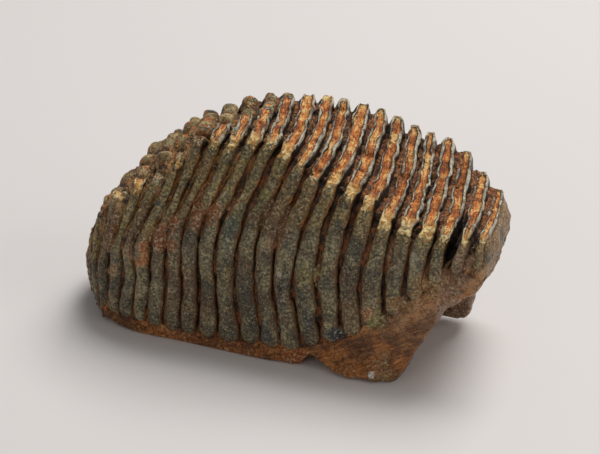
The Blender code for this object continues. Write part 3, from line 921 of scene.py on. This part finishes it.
def between(value, low, high, fromZero=0.0, toOne=1.0):
    # rises smoothly as the value goes from low to high
    made = nodes.new("ShaderNodeMapRange")
    made.interpolation_type = "SMOOTHSTEP"
    put(made.inputs["Value"], value)
    made.inputs["From Min"].default_value = low
    made.inputs["From Max"].default_value = high
    made.inputs["To Min"].default_value = fromZero
    made.inputs["To Max"].default_value = toOne
    return made.outputs["Result"]


def mix(factor, first, second):
    made = nodes.new("ShaderNodeMix")
    made.data_type = "RGBA"
    put(made.inputs[0], factor)
    for index, paint in ((6, first), (7, second)):
        put(made.inputs[index], paints[paint] if isinstance(paint, str) else paint)
    return made.outputs[2]


def coats(under, *layers):
    # lays coats of (mask, colour) one over another
    for mask, over in layers:
        under = mix(mask, under, over)
    return under


def texture(vector, scale, detail=3.0, rough=0.6):
    made = nodes.new("ShaderNodeTexNoise")
    put(made.inputs["Vector"], vector)
    made.inputs["Scale"].default_value = scale
    made.inputs["Detail"].default_value = detail
    made.inputs["Roughness"].default_value = rough
    return made.outputs["Fac"]


def cells(vector, scale, feature="F1"):
    made = nodes.new("ShaderNodeTexVoronoi")
    made.feature = feature
    put(made.inputs["Vector"], vector)
    made.inputs["Scale"].default_value = scale
    return made.outputs["Distance"]


def stretch(vector, scale):
    made = nodes.new("ShaderNodeMapping")
    put(made.inputs["Vector"], vector)
    made.inputs["Scale"].default_value = scale
    return made.outputs["Vector"]


# What the finishes are made of: the masks of each point of the meshes, and noise from fine to broad
place = nodes.new("ShaderNodeTexCoord").outputs["Object"]
grain = attribute("grain", "Vector")
inside, worn, depth, tone = [attribute(name) for name in ("inside", "worn", "depth", "tone")]
upper, gold, root, cemented = [attribute(name) for name in ("upper", "gold", "root", "cement")]
fine = texture(place, scales["fine"], 3, 0.7)
speck = texture(place, scales["speck"], 2)
patchy = texture(place, scales["patchy"], 4)
broad = texture(place, scales["broad"], 4)
grit = cells(place, scales["grit"])
streak = texture(stretch(grain, (0.1, 0.9, 1.0)), 1.0, 4)
onWorn = times(between(inside, 0.0, 0.3), between(worn, 0.4, 0.7))


def ribEnamel():
    # unworn enamel, darker down the flanks of the ribs and in the grooves: rust on the flanks, painted
    # shade deep in the grooves
    shade = between(maths("ADD", broad, times(tone, 0.06)), 0.38, 0.62)
    clouds = between(texture(place, scales["clouds"], 3), 0.5, 0.6)
    strands = times(upper, between(depth, 0.7, 1.6), between(streak, 0.48, 0.56))
    return coats(
        mix(shade, "ribDark", "ribLight"),
        (times(between(patchy, 0.45, 0.62), 0.55), "ribBlue"),
        # olive high on the ribs: partly their own tint, partly painted highlight
        (times(upper, between(patchy, 0.36, 0.56), 0.85), "ribOlive"),
        (times(between(streak, 0.5, 0.66), 0.55), "ribBrown"),
        (times(clouds, between(patchy, 0.4, 0.52), 0.5), "ribBrown"),
        (times(between(fine, 0.54, 0.66), 0.7), "ribSpeck"),
        # painted glints, specks of gold high on the ribs
        (times(upper, between(fine, 0.58, 0.66), between(speck, 0.48, 0.58)), "gold"),
        (times(between(speck, 0.5, 0.38), 0.6), "black"),
        (times(between(grit, 0.35, 0.75), 0.6), "darkBrownAndShade"),
        (times(between(depth, 0.5, 1.4), between(streak, 0.4, 0.54), 0.85), "flank"),
        (times(strands, between(speck, 0.4, 0.5), 0.7), "cementTop"),
        # painted shade, darker deep in the grooves and clefts
        (between(depth, 1.5, 4.2), "darkBrownAndShade"),
    )


def wornFace():
    # worn dentine inside its enamel ridge, with a dark line between them
    band = texture(stretch(grain, (0.22, 1.0, 1.0)), 0.9, 4)
    hue = maths("ADD", times(band, 0.45), times(texture(place, scales["warm"], 3), 0.55))
    dentine = coats(
        mix(between(hue, 0.42, 0.5), "dentineDark", "dentine"),
        (between(hue, 0.5, 0.58), "dentineLight"),
        (times(between(speck, 0.48, 0.34), 0.8), "dentineDark"),
        (times(between(fine, 0.56, 0.68), 0.5), "dentineLight"),
        # painted highlight: lighter dentine at the bright facets
        (times(between(gold, 0.05, 0.7), between(band, 0.4, 0.5), 0.8), "dentineLight"),
    )
    return coats(
        mix(between(patchy, 0.4, 0.6), "enamel", "enamelGrey"),
        (times(between(fine, 0.46, 0.36), 0.9), "black"),
        (times(between(patchy, 0.56, 0.64), 0.8), "dentineDark"),
        (between(inside, 1.15, 1.4), "darkBrownAndShade"),
        (between(inside, 1.55, 1.85), dentine),
    )


def facetHighlights(under):
    # worn facets at the near rims and the far tips, brightened with painted highlights
    shine = maths("ADD", gold, maths("ADD", times(speck, 1.6), times(fine, 1.2)))
    shine = times(between(shine, 1.75, 2.1), between(patchy, 0.36, 0.46))
    freckle = between(texture(place, scales["freckle"], 3), 0.46, 0.58)
    return mix(shine, under, mix(freckle, "goldDark", "gold"))


def grooveCement():
    # cement of the grooves and gaps
    return coats(
        mix(between(patchy, 0.42, 0.6), "cementDark", "cementRust"),
        (times(between(streak, 0.5, 0.62), 0.7), "flank"),
        (times(worn, between(speck, 0.5, 0.62)), "cementTop"),
        (times(gold, between(streak, 0.44, 0.54), between(speck, 0.42, 0.54)), "ribOlive"),
        (times(gold, between(streak, 0.54, 0.6), between(fine, 0.42, 0.52)), "cementTop"),
        (between(fine, 0.48, 0.36), "darkBrownAndShade"),
        # painted shade, darker where the cement lies deep in the gaps
        (between(depth, 4.2, 7.5), "darkBrownAndShade"),
    )


def rootFibres():
    # fibrous, cracked root, rustier where it is coarse and paler high at the front, the paleness partly
    # painted light
    fibres = texture(stretch(grain, (1.1, 0.6, 1.0)), 0.9, 5, 0.65)
    fibrous = maths("ADD", times(fibres, 0.5), times(broad, 0.5))
    edges = cells(stretch(place, (1.0, 1.0, 1.3)), scales["cracks"], "DISTANCE_TO_EDGE")
    return coats(
        mix(between(fibrous, 0.4, 0.54), "rootDark", "rootMid"),
        (times(between(fibres, 0.52, 0.62), 0.75), "rootLight"),
        # paler high up and on the crumbled edge: partly its own paler colour, partly painted light
        (times(upper, between(patchy, 0.34, 0.52), 0.6), "rootPale"),
        (times(between(broad, 0.54, 0.4), 0.6), "rootDark"),
        (times(tone, between(patchy, 0.44, 0.6), 0.75), "rustBright"),
        (times(tone, between(speck, 0.58, 0.68), 0.35), "gold"),
        (times(tone, between(broad, 0.54, 0.4), 0.5), "rootDark"),
        (times(between(speck, 0.46, 0.32), 0.8), "rootDark"),
        (times(between(fine, 0.58, 0.7), 0.5), "rootLight"),
        (times(between(edges, 0.035, 0.0), between(patchy, 0.44, 0.54), 0.8), "cementDark"),
        (between(depth, 1.4, 3.0), "cementDark"),
    )


def withStains(under):
    # the stains and patches, broken up by specks, on all but the worn faces
    stain = coats(
        attribute("stain", "Color"),
        (between(fine, 0.5, 0.36), "darkBrownAndShade"),
        (times(between(speck, 0.52, 0.66), 0.5), "ribSpeck"),
    )
    brokenUp = times(between(speck, 0.3, 0.46), between(patchy, 0.28, 0.46))
    strength = times(attribute("stain", "Alpha"), brokenUp, maths("SUBTRACT", 1.0, onWorn))
    return mix(strength, under, stain)


# The finishes laid over one another, each on its own part of the tooth
# the flanks of the worn plates darken with depth as painted shade
ribs = mix(times(between(worn, 0.4, 0.7), between(depth, 0.5, 1.8)), ribEnamel(), "darkBrownAndShade")
plateLook = facetHighlights(mix(onWorn, ribs, wornFace()))
toothLook = coats(plateLook, (cemented, grooveCement()), (root, rootFibres()))
shader = nodes["Principled BSDF"]
put(shader.inputs["Base Color"], withStains(toothLook))
put(shader.inputs["Roughness"], between(patchy, 0.3, 0.7, *looks["roughness"]))
bump = nodes.new("ShaderNodeBump")
bump.inputs["Strength"].default_value = looks["bump"]
bump.inputs["Distance"].default_value = looks["bumpHeight"]
put(bump.inputs["Height"], maths("ADD", maths("ADD", fine, times(speck, 1.3)), times(grit, -0.5)))
put(shader.inputs["Normal"], bump.outputs["Normal"])
print("fossil look made")

plates = [plateBar(plate) for plate in range(form["plates"])]
meshFrom("rear_plates", plates[:8], fossil)
meshFrom("middle_plates", plates[8:16], fossil)
meshFrom("front_plates", plates[16:], fossil)
meshFrom("groove_cement", [cementBar(plate + 0.5) for plate in range(form["plates"] - 1)], fossil)
meshFrom("root", [rootPiece()], fossil)
meshFrom("rounded_ends", [endCap(ends["rear"]), endCap(ends["front"])], fossil)
print("tooth made")

# Pale floor, soft lights and camera, in metres and degrees
studio = {
    "floor": (224, 219, 216), "floorSize": 16.0, "floorRoughness": 0.8, "floorShine": 0.2,
    "sky": (1.0, 0.98, 0.96, 1), "skyStrength": 0.2,
    "lights": {
        "key": {"power": 86.0, "size": 1.9, "at": (0.6, 1.25, 2.9)},
        "fill": {"power": 11.0, "size": 1.4, "at": (-1.3, -2.7, 0.6)},
        "side": {"power": 7.5, "size": 1.2, "at": (1.9, -0.3, 1.2)},
    },
    "lightTarget": (0, 0, 0.06),
}


def addLight(name, power, size, at):
    data = bpy.data.lights.new(name, "AREA")
    data.energy = power
    data.shape = "SQUARE"
    data.size = size
    light = bpy.data.objects.new(name, data)
    light.location = at
    light.rotation_mode = "QUATERNION"
    towards = Vector(studio["lightTarget"]) - Vector(at)
    light.rotation_quaternion = towards.to_track_quat("-Z", "Y")
    bpy.context.scene.collection.objects.link(light)


for lightName, values in studio["lights"].items():
    addLight(lightName, **values)

half = studio["floorSize"] / 2
floorCorners = [(-half, -half, 0), (half, -half, 0), (half, half, 0), (-half, half, 0)]
floorData = bpy.data.meshes.new("floor")
floorData.from_pydata(floorCorners, [], [(0, 1, 2, 3)])
floorLook = bpy.data.materials.new("floor_look")
floorLook.use_nodes = True
floorShader = floorLook.node_tree.nodes["Principled BSDF"]
floorShader.inputs["Base Color"].default_value = (*map(linear, studio["floor"]), 1)
floorShader.inputs["Roughness"].default_value = studio["floorRoughness"]
floorShader.inputs["Specular IOR Level"].default_value = studio["floorShine"]
floorData.materials.append(floorLook)
floor = bpy.data.objects.new("floor", floorData)
bpy.context.scene.collection.objects.link(floor)
print("floor and lights made")

world = bpy.data.worlds.new("studio")
bpy.context.scene.world = world
world.use_nodes = True
sky = world.node_tree.nodes["Background"]
sky.inputs["Color"].default_value = studio["sky"]
sky.inputs["Strength"].default_value = studio["skyStrength"]

view = {
    "azimuth": 18.0, "elevation": 30.0, "distance": 0.95, "target": (0.0053, 0.0082, 0.060),
    "lens": 96.9, "sensor": 36,
}
azimuth, elevation = math.radians(view["azimuth"]), math.radians(view["elevation"])
level = math.cos(elevation)
right = Vector((math.cos(azimuth), math.sin(azimuth), 0))
back = Vector((math.sin(azimuth) * level, -math.cos(azimuth) * level, math.sin(elevation)))
up = back.cross(right)
cameraData = bpy.data.cameras.new("camera")
cameraData.sensor_width = view["sensor"]
cameraData.lens = view["lens"]
camera = bpy.data.objects.new("camera", cameraData)
camera.matrix_world = Matrix.Translation(Vector(view["target"]) + back * view["distance"]) @ Matrix(
    ((right.x, up.x, back.x, 0), (right.y, up.y, back.y, 0), (right.z, up.z, back.z, 0), (0, 0, 0, 1))
)
bpy.context.scene.collection.objects.link(camera)
bpy.context.scene.camera = camera
bpy.context.scene.view_settings.view_transform = "Standard"
print("camera set")
